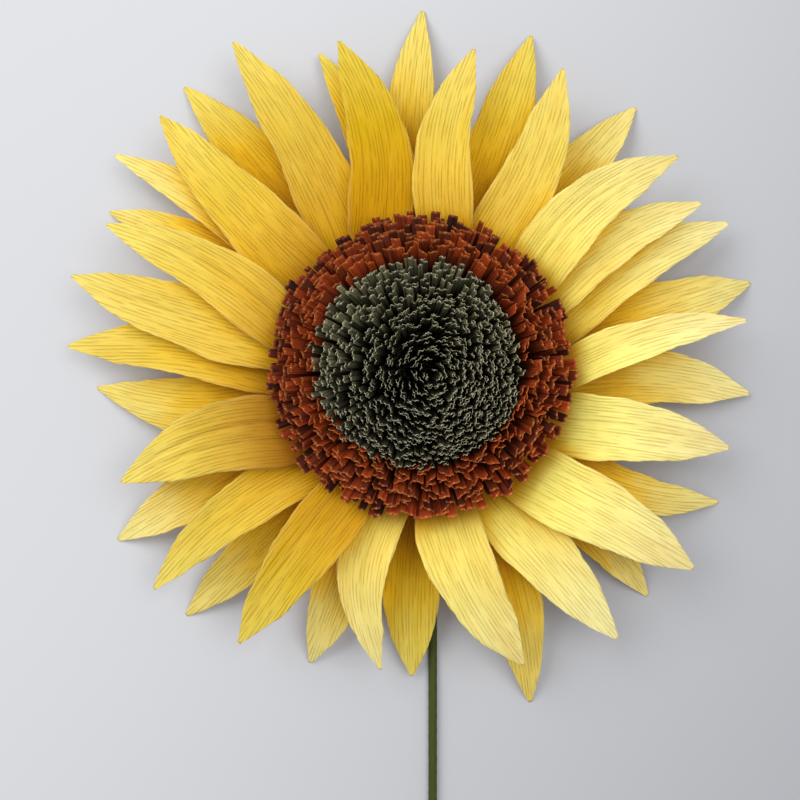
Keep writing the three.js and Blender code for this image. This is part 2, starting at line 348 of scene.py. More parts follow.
# Painted shade at a petal's root: how dark, and how far along the petal it reaches
baseShadow = {
    "petal_01": (0.25, 0.45), "petal_03": (0.4, 0.5), "petal_09": (0.4, 0.45), "petal_11": (0.3, 0.4),
    "petal_17": (0.45, 0.45), "petal_19": (1.0, 0.56), "petal_20": (0.3, 0.4), "petal_21": (0.25, 0.4),
    "petal_22": (0.4, 1.0), "petal_24": (0.5, 0.5), "petal_25": (0.2, 0.4), "petal_26": (1.0, 0.74),
    "petal_28": (0.6, 0.5), "petal_30": (0.4, 0.42), "petal_31": (0.4, 0.5), "petal_33": (0.5, 0.45),
    "petal_34": (0.3, 1.2), "petal_35": (0.3, 1.2), "petal_36": (0.5, 0.6), "petal_37": (0.34, 2.0),
}


solidForm = {"columns": 5, "snap": 0.02 * mm, "snapReach": 0.03 * mm, "sameCorner": 0.06 * mm}


# Back to the solid's rows and columns: rows run square to the line from root to tip
def petalGrid(node):
    form = solidForm
    corners = np.array([v.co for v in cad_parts[node].data.vertices], float)
    keys = np.unique(np.round(corners[:, :2] / form["snap"]).astype(int), axis=0)
    flat, tops = [], []
    for key in keys:
        near = np.all(np.abs(corners[:, :2] - key * form["snap"]) < form["snapReach"], axis=1)
        if near.any():
            flat.append(corners[near, :2].mean(0))
            tops.append(corners[near, 2].max())
    flat, tops = np.array(flat), np.array(tops)
    keep = [i for i in range(len(flat))
            if not any(np.linalg.norm(flat[i] - flat[j]) < form["sameCorner"] for j in range(i))]
    flat, tops = flat[keep], tops[keep]
    head = np.array([headX, headY])
    far = np.argmax(np.linalg.norm(flat - head, axis=1))
    tip = np.argsort(np.linalg.norm(flat - flat[far], axis=1))[:form["columns"]]
    spread = flat[tip] - flat[tip].mean(0)
    across = np.linalg.svd(spread)[2][0]
    along = np.array([across[1], -across[0]])
    if along @ (flat[far] - head) < 0:
        along = -along
    across = np.array([-along[1], along[0]])
    order = np.argsort(flat @ along)
    rows = order.reshape(-1, form["columns"])
    rows = np.array([row[np.argsort(flat[row] @ across)] for row in rows])
    grid = np.concatenate([flat[rows], tops[rows][..., None]], axis=2)
    return grid, along, across


# The petals and the outer roll as one tree of faces, with the node each face belongs to
def coverTree():
    corners, faces, owners = [], [], []
    for node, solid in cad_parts.items():
        if node.startswith("petal_") or node == "rust_fringe_roll":
            first = len(corners)
            corners += [v.co.copy() for v in solid.data.vertices]
            for face in solid.data.polygons:
                faces.append([first + corner for corner in face.vertices])
                owners.append(node)
    return BVHTree.FromPolygons(corners, faces), owners


# How much of the sky over each point other pieces hide, worked out on every few rows and columns; the petal material
# paints shade from it
def coverShare(grid, node):
    look = petalLook
    tree, owners = cover
    rows = np.unique(np.append(np.arange(0, grid.shape[0], look["coverStep"]), grid.shape[0] - 1))
    columns = np.arange(0, grid.shape[1], look["coverStep"])
    rays = []
    for tilt, count in look["coverRays"]:
        flatPart = math.sin(tilt)
        for turn in range(count):
            around = 2 * math.pi * (turn + tilt) / count
            rays.append(Vector((flatPart * math.cos(around), flatPart * math.sin(around), math.cos(tilt))))
    share = np.zeros((len(rows), len(columns)))
    for i, row in enumerate(rows):
        for j, column in enumerate(columns):
            start = Vector(grid[row, column]) + Vector((0, 0, look["coverLift"]))
            for ray in rays:
                hit = tree.ray_cast(start, ray, look["coverReach"])
                if hit[2] is None or owners[hit[2]] == node:
                    continue
                if owners[hit[2]].startswith("petal_") or hit[3] < look["rollReach"]:
                    share[i, j] += 1 / len(rays)
    across = np.array([np.interp(np.arange(grid.shape[1]), columns, line) for line in share])
    return np.array([np.interp(np.arange(grid.shape[0]), rows, line) for line in across.T]).T


def addPetal(node, index):
    look = petalLook
    coarse, along, across = petalGrid(node)
    middle = coarse[:, 2, :]
    distance = middle[:, :2] @ along
    share = (distance - distance[0]) / (distance[-1] - distance[0])
    length = distance[-1] - distance[0]
    rowShares = np.linspace(0, 1, look["rows"]) ** look["rowCrowding"]
    sides = np.linspace(-1, 1, look["columns"])
    byRow = cubicWeights(share, rowShares)
    byColumn = cubicWeights(np.linspace(-1, 1, solidForm["columns"]), sides)
    grid = np.einsum("ri,ijk,cj->rck", byRow, coarse, byColumn)
    spine = grid[:, len(sides) // 2:len(sides) // 2 + 1, :2]
    fuller = 1 + look["tipFullness"] * np.exp(-((rowShares - look["fullPlace"]) / look["fullWidth"]) ** 2)
    grid[..., :2] = spine + (grid[..., :2] - spine) * fuller[:, None, None]
    halfWidth = np.linalg.norm(grid[:, -1, :2] - grid[:, 0, :2], axis=1) / 2
    grid[..., 2] -= look["thickness"] * 0.5

    # torn edge: the two sides wander a little, more so towards the tip
    seed = index * 7.31
    coarseWaves, fineWaves = look["raggedWaves"]
    torn = np.zeros_like(grid)
    for row, part in enumerate(rowShares):
        for edge in (-1, 1):
            rough = noise.noise((part * coarseWaves, seed, edge * 3.7))
            rough += 0.6 * noise.noise((part * fineWaves, seed, edge * 9.1))
            weight = np.clip((sides * edge - 0.5) / 0.5, 0, 1) ** 1.3
            ruffle = noise.noise((part * look["ruffleWaves"], seed + 9.4, edge * 5.1))
            ruffle = ruffle * min(1.0, part * 3) * min(1.0, (1 - part) * 5)
            wander = look["raggedEdge"] * (0.4 + 0.9 * part) * min(1.0, (1 - part) * 8)
            rough = rough * wander + ruffle * look["ruffle"]
            torn[row, :, 0] += across[0] * edge * rough * weight
            torn[row, :, 1] += across[1] * edge * rough * weight
    grid = grid + torn

    # pleats, folds and flutter, all running lengthwise
    spacing = look["pleatSpacing"]
    for row, part in enumerate(rowShares):
        fade = math.sin(math.pi * min(1.0, part * 1.1 + 0.08)) ** 0.5 if part < 0.9 else 0.35
        place = sides * halfWidth[row]
        for column, offset in enumerate(place):
            pleat = noise.noise((offset / spacing * 1.6 + seed, part * 3.0, 1.7))
            fine = noise.noise((offset / spacing * 4.1 + seed, part * 5.0, 8.2))
            lift = look["pleatDepth"] * (1.4 * pleat + 0.7 * fine) * (0.45 + fade)
            edge = abs(sides[column]) ** 2.2
            wave = noise.noise((part * look["flutterWaves"], seed + 3 * np.sign(sides[column]), 4.4))
            lift += look["flutter"] * wave * edge * min(1.0, part * 4) * min(1.0, (1 - part) * 5 + 0.3)
            lift += look["crown"] * (1 - sides[column] ** 2) * fade
            for where, depth in foldedPetals.get(node, ()):
                gap = (sides[column] - where * (1 - 0.3 * part)) * halfWidth[row] / mm
                groove = depth * mm * math.exp(-(gap / look["foldWidth"]) ** 2)
                lift -= groove * min(1.0, part * 5 + 0.2) * min(1.0, (1 - part) * 3)
            grid[row, column, 2] += lift
    normal = gridNormals(grid)
    below = grid - normal * look["thickness"]
    points = np.concatenate([grid.reshape(-1, 3), below.reshape(-1, 3)])
    floorRise = max(0.0, look["floorGap"] - points[:, 2].min())
    points[:, 2] = np.where(points[:, 2] < look["bendsUpTo"], points[:, 2] + floorRise, points[:, 2])

    # the UV map, apart for each petal, and what its paper looks like from point to point
    u = sides[None, :] * halfWidth[:, None] * look["paperWidth"] + index * 0.05
    v = np.repeat((rowShares * length)[:, None], len(sides), axis=1) + index * 0.37
    uv = np.stack([u, v], axis=2).reshape(-1, 2)
    part = np.repeat(rowShares[:, None], len(sides), axis=1).ravel()
    side = np.repeat(np.abs(sides)[None, :], len(rowShares), axis=0).ravel()
    # tone: the paper's own tone and painted light by the petal's place, with a little random change
    tone = np.full(len(part), paperToneAndLight.get(node, 0.5) + 0.08 * noise.noise((index * 3.3, 2.2, 0.5)))
    # painted shade at the petal's root
    amount, reach = baseShadow.get(node, (0.12, 0.4))
    shadow = amount * np.clip((reach - part) / (reach - 0.2), 0, 1) ** 1.4
    hidden = coverShare(grid, node).ravel()
    # the ring's shadow falls on the petals beside and below it
    offX, offY = grid[..., 0].ravel() - headX, grid[..., 1].ravel() - headY
    beside = 0.3 + 0.35 * (1 + np.cos(np.arctan2(offY, offX) - look["shadowSide"]))
    near = np.clip((look["shadowEnd"] - np.hypot(offX, offY)) / look["shadowWidth"], 0, 1) ** 1.6
    shadow = np.maximum(shadow, look["shadowDepth"] * beside * near)
    values = {"along": part, "side": side, "tone": tone, "shadow": shadow, "hidden": hidden}
    both = {key: np.concatenate([value, value]) for key, value in values.items()}
    return addMesh(node + "_paper", points, paperFaces(len(rowShares), len(sides)), np.concatenate([uv, uv]), both)


petalColours = {
    "rootShade": linear(202, 134, 1), "golden": linear(228, 174, 2), "lemon": linear(255, 249, 124),
    "pale": linear(255, 253, 188), "warmMiddle": linear(220, 190, 20), "warmTip": linear(232, 218, 84),
    "coverShade": linear(242, 196, 8), "deepCoverShade": linear(206, 138, 8), "shadow": linear(146, 84, 3),
    "goldCrease": linear(146, 96, 2), "lemonCrease": linear(186, 144, 12), "through": linear(255, 206, 40),
}
petalFinish = {
    "grain": (1300, 380, 0.07),  # fine and broad waves for each metre, and how drawn out they are
    "creases": (980, 0.04, 0.06), "creaseShare": 0.3, "cupShadeWaves": (85, 16), "lineDepth": 0.32,
    "bumpStrength": 0.7, "bumpDistance": 0.0006, "roughness": 0.8, "gloss": 0.15, "lightThrough": 0.26,
}


def makePetalPaper():
    material, g = newMaterial("petalCrepe")
    colours, look = petalColours, petalFinish
    golden, pale = colours["golden"], colours["pale"]
    along, tone, side = attribute(g, "along"), attribute(g, "tone"), attribute(g, "side")
    hidden = attribute(g, "hidden")
    lines, waves = crepeHeight(g, *look["grain"])
    sharp = ruledLines(g) + creases(g, *look["creases"]) * look["creaseShare"]
    cupShade = paperNoise(g, *look["cupShadeWaves"], 1.0)
    # Ramps along the petal: the deep colour at the root is painted shade beside and under the ring, and the paler
    # tips are partly painted light
    warmStops = [(0.0, colours["rootShade"]), (0.3, golden), (0.62, colours["warmMiddle"]), (1.0, colours["warmTip"])]
    lightStops = [(0.0, colours["rootShade"]), (0.17, golden), (0.27, colours["lemon"]), (1.0, pale)]
    warm = g.node("ShaderNodeValToRGB", {"stops": warmStops}, {0: along})
    light = g.node("ShaderNodeValToRGB", {"stops": lightStops}, {0: along})
    body = mixColour(g, tone + (waves - 0.5) * 0.2, warm, light)
    # painted shade: broad soft patches of deeper gold, standing in for the light across the cupped petals
    body = mixColour(g, smoothStep(g, cupShade, 0.42, 0.75) * 0.22, body, golden)
    # painted shade where other petals and the ring hide the sky: saturated gold, deeper where more is hidden
    body = mixColour(g, smoothStep(g, hidden, 0.02, 0.6) * 0.8, body, colours["coverShade"])
    body = mixColour(g, smoothStep(g, hidden, 0.4, 0.85) * 0.55, body, colours["deepCoverShade"])
    edged = mixColour(g, smoothStep(g, side, 0.86, 1.0) * 0.12, body, pale)
    grained = mixColour(g, smoothStep(g, lines, 0.52, 0.3) * 0.14, edged, golden)
    shadowed = mixColour(g, attribute(g, "shadow"), grained, colours["shadow"])
    crease = mixColour(g, tone, colours["goldCrease"], colours["lemonCrease"])
    shade = mixColour(g, sharp * look["lineDepth"], shadowed, crease)
    height = lines * 0.4 + waves * 0.3 - sharp * 0.5
    bump = crepeBump(g, look["bumpStrength"], look["bumpDistance"], height)
    paper = g.node("ShaderNodeBsdfPrincipled", None, {
        "Base Color": shade, "Roughness": look["roughness"], "Specular IOR Level": look["gloss"], "Normal": bump})
    through = g.node("ShaderNodeBsdfTranslucent", None, {"Color": colours["through"], "Normal": bump})
    finish(g, paper, through, look["lightThrough"])
    return material


print("petals")
petalPaper = makePetalPaper()
cover = coverTree()
petalNodes = sorted(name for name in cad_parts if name.startswith("petal_"))
for index, node in enumerate(petalNodes):
    petal = addPetal(node, index)
    petal.data.materials.append(petalPaper)
    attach(petal, "root")
    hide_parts(node)


# Fringed rolls: cut strips along a wound spiral, bent out by their place in the winding

stripForm = {
    "across": 6, "along": 5,  # faces each way
    "narrowest": 0.72, "widest": 1.15, "longest": 2.5, "startShare": 0.35, "leastBend": 0.02,
    "clumpSideways": 0.0035, "clumpBias": 0.45, "waves": 4.4, "ripples": 1.7, "nicks": 4.3,
}


# A straight strip: x across, y through the paper, z along; attributes hold its own places
def stripMesh(name, width, length, thickness):
    columns, rows = stripForm["across"] + 1, stripForm["along"] + 1
    heights = [(row / (rows - 1)) ** 0.75 for row in range(rows)]
    front = [(width * (c / (columns - 1) - 0.5), 0.0, length * h) for h in heights for c in range(columns)]
    back = [(x, thickness, z) for x, y, z in front]
    points = np.array(front + back)
    uv = np.stack([points[:, 0], points[:, 2]], axis=1)
    places = {"across": points[:, 0] / width * 2, "along": points[:, 2] / length, "through": points[:, 1]}
    return addMesh(name, points, paperFaces(rows, columns), uv, places, smooth=False)


def fringeTree(name, material):
    form = stripForm
    tree = bpy.data.node_groups.new(name, "GeometryNodeTree")
    g = Graph(tree)
    numbers = (
        "Pitch", "Turn Spacing", "Inner Radius", "Outer Radius", "Length", "Length Scatter", "Splay Power",
        "Lean Inner", "Lean Outer", "Bend Inner", "Bend Outer", "Bias Inner", "Bias Outer", "Bias Direction",
        "Scatter", "Clump", "Clump Size", "Curl", "Swing", "Tip Wave", "Light Base", "Light Gain", "Light Direction")
    sizes = {"Geometry": "NodeSocketGeometry", "Strips": "NodeSocketInt", "Seed": "NodeSocketInt",
             "Base": "NodeSocketVector", "Tip Shift": "NodeSocketVector"}
    sizes.update({key: "NodeSocketFloat" for key in numbers})
    for key, kind in sizes.items():
        tree.interface.new_socket(key, in_out="INPUT", socket_type=kind)
    tree.interface.new_socket("Geometry", in_out="OUTPUT", socket_type="NodeSocketGeometry")
    entry = tree.nodes.new("NodeGroupInput")
    given = {key: Sock(g, entry.outputs[key]) for key in sizes}

    points = g.node("GeometryNodePoints", None, {"Count": given["Strips"], "Radius": 0.001})
    index = g.node("GeometryNodeInputIndex")

    def chance(low, high, salt):
        return g.node("FunctionNodeRandomValue", {"data_type": "FLOAT"},
                      {2: low, 3: high, "ID": index, "Seed": given["Seed"] + salt}, out=1)

    def vectorSum(first, second):
        return g.node("ShaderNodeVectorMath", {"operation": "ADD"}, {0: first, 1: second})

    inner, outer, spacing = given["Inner Radius"], given["Outer Radius"], given["Turn Spacing"]
    # arc length of a spiral grows with the square of its radius
    wound = (index + chance(0.1, 0.9, 1)) * given["Pitch"]
    radius = (wound * spacing / math.pi + inner * inner) ** 0.5
    angle = radius * (2 * math.pi) / spacing
    share = (radius - inner) / (outer - inner)
    stored = {
        "windAngle": angle, "windRadius": radius, "share": share,
        "leanRandom": chance(-1.0, 1.0, 2), "bendRandom": chance(-1.0, 1.0, 3), "twist": chance(-1.0, 1.0, 4),
        "lengthRandom": chance(-1.0, 1.0, 5), "tone": chance(0.0, 1.0, 6), "phase": chance(0.0, 6.28, 7),
        "widthRandom": chance(form["narrowest"], form["widest"], 8),
        # lit: how much painted light a strip gets by its place round the roll, and the rest is painted shade in the
        # material
        "lit": given["Light Base"] + given["Light Gain"] * share * (
            0.5 + 0.5 * (angle - given["Light Direction"]).math("COSINE")),
    }
    cloud = points
    for key, value in stored.items():
        cloud = g.node("GeometryNodeStoreNamedAttribute", {"data_type": "FLOAT", "domain": "POINT"},
                       {"Geometry": cloud, "Name": key, "Value": value})
    placed = g.node("GeometryNodeInstanceOnPoints", None, {"Points": cloud, "Instance": given["Geometry"]})
    real = g.node("GeometryNodeRealizeInstances", None, {"Geometry": placed})

    def named(key):
        return g.node("GeometryNodeInputNamedAttribute", {"data_type": "FLOAT"}, {"Name": key})

    angle, radius, share = named("windAngle"), named("windRadius"), named("share")
    along, across = named("along"), named("across")
    through, phase = named("through"), named("phase")
    cosine, sine = angle.math("COSINE"), angle.math("SINE")
    # neighbours lean together in clumps
    spot = g.node("ShaderNodeCombineXYZ", None, {0: cosine * radius, 1: sine * radius, 2: share * 0.01})
    cloudiness = {"Vector": spot, "Scale": 1 / given["Clump Size"], "Detail": 2.0}
    clumps = g.node("ShaderNodeTexNoise", None, cloudiness) - 0.5
    splay = share ** given["Splay Power"]
    facing = (angle - given["Bias Direction"]).math("COSINE")
    toBias = facing * (given["Bias Inner"] + (given["Bias Outer"] - given["Bias Inner"]) * splay)
    lean = given["Lean Inner"] + (given["Lean Outer"] - given["Lean Inner"]) * share
    bend = given["Bend Inner"] + (given["Bend Outer"] - given["Bend Inner"]) * splay
    stray = named("leanRandom") * given["Scatter"] + clumps * given["Clump"] * (1 + facing * form["clumpBias"])
    first = lean + stray * form["startShare"]
    last = bend + stray + toBias + named("bendRandom") * given["Curl"]
    # the strip's bend grows evenly along it; a guard keeps the rate away from nought
    rate = (last - first).math("MAXIMUM", form["leastBend"])
    here = first + rate * along
    longer = smoothStep(g, named("bendRandom"), 0.9, 1.0) * share * given["Length Scatter"] * form["longest"]
    length = given["Length"] * (1 + named("lengthRandom") * given["Length Scatter"] + longer)
    out = length * (first.math("COSINE") - here.math("COSINE")) / rate
    up = length * (here.math("SINE") - first.math("SINE")) / rate
    # through the paper, and waves that grow towards the cut end
    width = splitVector(g, g.node("GeometryNodeInputPosition"))[0] * named("widthRandom")
    wave = (across * form["waves"] + phase).math("SINE") * given["Tip Wave"] * (along ** 1.5)
    ripple = (across * form["ripples"] + phase * 1.9).math("SINE") * given["Tip Wave"] * 0.8 * along
    swing = named("twist") * given["Swing"] * along
    offset = through + wave + ripple + width * swing.math("SINE")
    sideways = width * swing.math("COSINE") + clumps * form["clumpSideways"] * along
    reach = radius + out + offset * here.math("COSINE")
    nick = (across * form["nicks"] + phase * 2.3).math("SINE") * given["Tip Wave"] * 0.9 * (along ** 6)
    level = up - offset * here.math("SINE") + nick
    shift = g.node("ShaderNodeVectorMath", {"operation": "SCALE"}, {
        0: given["Tip Shift"], "Scale": (1 - share) * along})
    place = g.node("ShaderNodeCombineXYZ", None, {
        0: cosine * reach - sine * sideways, 1: sine * reach + cosine * sideways, 2: level})
    place = vectorSum(vectorSum(place, shift), given["Base"])
    moved = g.node("GeometryNodeSetPosition", None, {"Geometry": real, "Position": place})
    dressed = g.node("GeometryNodeSetMaterial", None, {"Geometry": moved, "Material": material})
    leave = tree.nodes.new("NodeGroupOutput")
    g.put(leave.inputs[0], dressed)
    return tree


def addFringe(name, strip, tree, sizes):
    modifier = strip.modifiers.new("fringe", "NODES")
    modifier.node_group = tree
    for item in tree.interface.items_tree:
        if item.in_out == "INPUT" and item.name in sizes:
            modifier[item.identifier] = sizes[item.name]
    evaluated = strip.evaluated_get(bpy.context.evaluated_depsgraph_get())
    mesh = bpy.data.meshes.new_from_object(evaluated)
    strip.modifiers.clear()
    bpy.data.objects.remove(strip)
    mesh.name = name
    piece = bpy.data.objects.new(name, mesh)
    bpy.context.scene.collection.objects.link(piece)
    print(name, len(mesh.polygons), "faces")
    return piece


fringeFinish = {
    "grain": (2600, 700, 0.08), "bumpStrength": 0.6, "bumpDistance": 0.0003, "roughness": 0.8, "gloss": 0.2,
    "lightThrough": 0.12, "glintFrom": 0.955,
}


def makeFringePaper(name, colours, shading, glintFade):
    material, g = newMaterial(name)
    # root: a near-black colour used for painted shade
    look, root = fringeFinish, colours["root"]
    along, tone, share = attribute(g, "along"), attribute(g, "tone"), attribute(g, "share")
    unlit = 1 - attribute(g, "lit")
    lines, waves = crepeHeight(g, *look["grain"])
    body = mixColour(g, smoothStep(g, tone, 0.1, 0.9), colours["dark"], colours["middle"])
    # inner strips blend towards the light colour: for the green roll a darker painted shade at the middle of the
    # disc, for the rust roll a paler orange
    body = mixColour(g, (1 - share) * 0.35, body, colours["light"])
    body = mixColour(g, smoothStep(g, lines, 0.55, 0.3) * 0.55, body, root)
    # painted shade: each strip darkens towards its root, down into the gaps between strips
    body = mixColour(g, smoothStep(g, along, 0.96, 0.4) * 0.85, body, root)
    # painted shade on strips that the lit attribute marks as turned from the light
    body = mixColour(g, unlit * shading, body, root)
    # painted highlight on the strips' cut ends, in the edge colour, fading on strips painted as unlit
    glint = smoothStep(g, along, look["glintFrom"], 1.0) * (0.35 + 0.65 * smoothStep(g, waves, 0.42, 0.58))
    tipGlint = mixColour(g, glint * (1 - unlit * glintFade), body, colours["edge"])
    bump = crepeBump(g, look["bumpStrength"], look["bumpDistance"], lines * 0.5 + waves * 0.5)
    paper = g.node("ShaderNodeBsdfPrincipled", None, {
        "Base Color": tipGlint, "Roughness": look["roughness"], "Specular IOR Level": look["gloss"], "Normal": bump})
    through = g.node("ShaderNodeBsdfTranslucent", None, {"Color": colours["through"]})
    finish(g, paper, through, look["lightThrough"])
    return material


# Angles are in radians and grow with the place in the winding; seen from above, directions turn from +X to +Y
greenFringe = {
    "stripWidth": 2.8 * mm, "stripLength": 30 * mm, "paper": 0.16 * mm, "bandHeight": 17.5 * mm, "bandTurns": 25,
    "innerRadius": 0.9 * mm, "outerRadius": 37.4 * mm, "turnSpacing": 1.7 * mm, "pitch": 2.5 * mm,
    "shading": 0.7, "glintFade": 0.0,
    "colours": {"dark": linear(62, 60, 40), "middle": linear(138, 134, 98), "light": linear(50, 48, 32),
                "edge": linear(214, 206, 172), "root": linear(6, 6, 4), "through": linear(80, 80, 44)},
    "bends": {
        "Lean Inner": 0.0, "Lean Outer": 0.13, "Bend Inner": 0.06, "Bend Outer": 0.42, "Splay Power": 1.4,
        "Scatter": 0.07, "Clump": 0.8, "Clump Size": 5 * mm, "Curl": 0.05, "Swing": 0.5, "Tip Wave": 0.3 * mm,
        "Bias Inner": 0.06, "Bias Outer": 0.32, "Bias Direction": 2.45, "Tip Shift": (5 * mm, -4 * mm, 0),
        "Light Base": 0.0, "Light Gain": 1.7, "Light Direction": 1.2, "Length Scatter": 0.05, "Seed": 11},
}
rustFringe = {
    "stripWidth": 4.7 * mm, "stripLength": 30 * mm, "paper": 0.18 * mm, "bandTurns": 10,
    "bandInner": 37.7 * mm, "bandOuter": 44 * mm,
    "innerRadius": 38.2 * mm, "outerRadius": 43.9 * mm, "turnSpacing": 0.7 * mm, "pitch": 3.2 * mm,
    "shading": 0.5, "glintFade": 0.65,
    "colours": {"dark": linear(50, 8, 2), "middle": linear(154, 54, 12), "light": linear(176, 74, 22),
                "edge": linear(228, 134, 68), "root": linear(16, 2, 1), "through": linear(140, 40, 6)},
    "bends": {
        "Lean Inner": 0.14, "Lean Outer": 0.72, "Bend Inner": 0.47, "Bend Outer": 1.28, "Splay Power": 1.0,
        "Scatter": 0.11, "Clump": 0.7, "Clump Size": 7 * mm, "Curl": 0.14, "Swing": 0.9, "Tip Wave": 0.32 * mm,
        "Bias Inner": 0.3, "Bias Outer": 0.18, "Bias Direction": 2.2, "Tip Shift": (0, 0, 0),
        "Light Base": 1.0, "Light Gain": -0.8, "Light Direction": 2.6, "Length Scatter": 0.06, "Seed": 23},
}
bandTop = rollBase + greenFringe["bandHeight"]


def spiralCount(form):
    wound = math.pi * (form["outerRadius"] ** 2 - form["innerRadius"] ** 2) / form["turnSpacing"]
    return int(wound / form["pitch"])


def makeFringe(name, stripName, treeName, form, material):
    strip = stripMesh(stripName, form["stripWidth"], form["stripLength"], form["paper"])
    return addFringe(name, strip, fringeTree(treeName, material), {
        "Strips": spiralCount(form), "Pitch": form["pitch"], "Turn Spacing": form["turnSpacing"],
        "Inner Radius": form["innerRadius"], "Outer Radius": form["outerRadius"], "Length": form["stripLength"],
        "Base": (headX, headY, bandTop), **form["bends"]})


print("fringed rolls")
greenPaper = makeFringePaper("greenCrepe", greenFringe["colours"], greenFringe["shading"], greenFringe["glintFade"])
rustPaper = makeFringePaper("rustCrepe", rustFringe["colours"], rustFringe["shading"], rustFringe["glintFade"])
green = makeFringe("green_fringe", "greenStrip", "greenFringeTree", greenFringe, greenPaper)
rust = makeFringe("rust_fringe", "rustStrip", "rustFringeTree", rustFringe, rustPaper)


bandLook = {"sections": 120, "sideSteps": 12, "ridge": 0.5 * mm, "leastRadius": 0.05 * mm}


# The wound bands under the strips, with their turns as fine ridges, and closed tops
def addBand(name, inner, outer, turns, material):
    sections, steps = bandLook["sections"], bandLook["sideSteps"]
    profile = [(inner, rollBase), (outer, rollBase)]
    for step in range(steps + 1):
        profile.append((outer, rollBase + (bandTop - rollBase) * (step + 0.5) / (steps + 1)))
    for turn in range(turns * 2):
        part = turn / (turns * 2 - 1)
        profile.append((outer + (inner - outer) * part, bandTop + (bandLook["ridge"] if turn % 2 else 0)))
    points, faces = [], []
    for section in range(sections):
        angle = 2 * math.pi * section / sections
        for radius, height in profile:
            radius = max(radius, bandLook["leastRadius"])
            points.append((headX + radius * math.cos(angle), headY + radius * math.sin(angle), height))
    count = len(profile)
    for section in range(sections):
        following = (section + 1) % sections
        for step in range(count):
            after = (step + 1) % count
            faces.append((section * count + step, following * count + step,
                          following * count + after, section * count + after))
    flat = np.array(points)
    uv = np.stack([np.arctan2(flat[:, 1] - headY, flat[:, 0] - headX) * outer, flat[:, 2]], axis=1)
    zeros = np.zeros(len(points))
    # fixed values that give the bands painted shade in the fringe material: along darkens them towards root, lit
    # shades them by half
    values = {"along": zeros + 0.75, "tone": zeros + 0.5, "share": zeros + 1, "lit": zeros + 0.5}
    piece = addMesh(name, points, faces, uv, values, smooth=False)
    piece.data.materials.append(material)
    return piece


greenBand = addBand("green_band", 0, greenFringe["outerRadius"], greenFringe["bandTurns"], greenPaper)
rustBand = addBand("rust_band", rustFringe["bandInner"], rustFringe["bandOuter"], rustFringe["bandTurns"], rustPaper)
for piece, node, slotName in (
        (green, "green_fringe_roll", "green_paper"), (rust, "rust_fringe_roll", "rust_paper"),
        (greenBand, "green_fringe_roll", "green_paper"), (rustBand, "rust_fringe_roll", "rust_paper")):
    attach(piece, "root")
    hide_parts(node)


# Calyx: a gathered cap with pointed sepals

calyxLook = {
    "columns": 288, "sepals": 12, "sepalLength": 17 * mm, "sharpness": 1.6, "rollRadius": 44 * mm,
    "overhang": 1.5 * mm, "gather": 0.35 * mm, "pleats": 46, "thickness": 0.4 * mm, "rise": 1.6 * mm,
    "topGap": 0.15 * mm, "hole": (5 * mm, -4 * mm, 2.55 * mm),  # the stem's hole: its middle and its radius
    "capRows": [0, 0.12, 0.25, 0.4, 0.55, 0.7, 0.82, 0.9, 0.96, 1.0],
    "sepalRows": [0.12, 0.28, 0.46, 0.64, 0.8, 0.92, 1.0], "mapRadius": 0.045,
}


def addCalyx():
    look = calyxLook
    top = calyxHigh.z - look["rise"] - look["topGap"]
    rows = []
    holeX, holeY, holeRadius = look["hole"]
    for part in look["capRows"] + [1 + extra for extra in look["sepalRows"]]:
        row = []
        for column in range(look["columns"]):
            angle = 2 * math.pi * column / look["columns"]
            point = abs(math.cos(look["sepals"] * angle / 2)) ** look["sharpness"]
            edge = look["rollRadius"] + look["overhang"] + look["sepalLength"] * point
            inward, outward = min(part, 1.0), max(part - 1.0, 0.0)
            radius = look["rollRadius"] + (edge - look["rollRadius"]) * outward
            cosine, sine = math.cos(angle), math.sin(angle)
            x, y = holeX + holeRadius * cosine, holeY + holeRadius * sine
            x += (radius * cosine - x) * inward
            y += (radius * sine - y) * inward
            wrinkle = noise.noise((look["pleats"] * cosine, look["pleats"] * sine, part * 0.6))
            z = top - look["gather"] * (0.5 + 0.5 * wrinkle) + look["rise"] * point * outward
            row.append((headX + x, headY + y, z))
        rows.append(row)
    grid = np.array(rows)
    below = grid - np.array([0, 0, look["thickness"]])
    points = np.concatenate([grid.reshape(-1, 3), below.reshape(-1, 3)])
    angle = np.arctan2(grid[..., 1] - headY, grid[..., 0] - headX)
    radius = np.hypot(grid[..., 1] - headY, grid[..., 0] - headX)
    uv = np.stack([angle * look["mapRadius"], radius], axis=2).reshape(-1, 2)
    faces = paperFaces(len(rows), look["columns"], wraps=True)
    return addMesh("calyx_paper", points, faces, np.concatenate([uv, uv]), {"wind": np.zeros(len(points))})


# Stem: the wire and the paper strip wound around it

stemLook = {
    "radius": 2.2 * mm, "wireRadius": 1.48 * mm, "x": 5 * mm, "neckY": -4 * mm, "bend": 10 * mm,
    "length": 380 * mm, "bareEnd": 1 * mm, "windPitch": 7 * mm, "ridge": 0.16 * mm, "roughness": 0.05 * mm,
    "sides": 24, "wrapStep": 0.8 * mm, "wireStep": 4 * mm, "intoRoll": 28 * mm, "rollGap": 0.3 * mm,
}


# A point of the stem's middle line and its direction: run counts from the foot of the bend, negative before it
def stemPoint(run, height):
    look = stemLook
    startY = look["neckY"] - look["bend"]
    quarter = look["bend"] * math.pi / 2
    if run < 0:
        return Vector((look["x"], startY + run, height)), Vector((0, 1, 0))
    if run < quarter:
        turn = run / look["bend"]
        sine, cosine = math.sin(turn), math.cos(turn)
        spot = Vector((look["x"], startY + look["bend"] * sine, height + look["bend"] * (1 - cosine)))
        return spot, Vector((0, cosine, sine))
    return Vector((look["x"], look["neckY"], height + look["bend"] + run - quarter)), Vector((0, 0, 1))


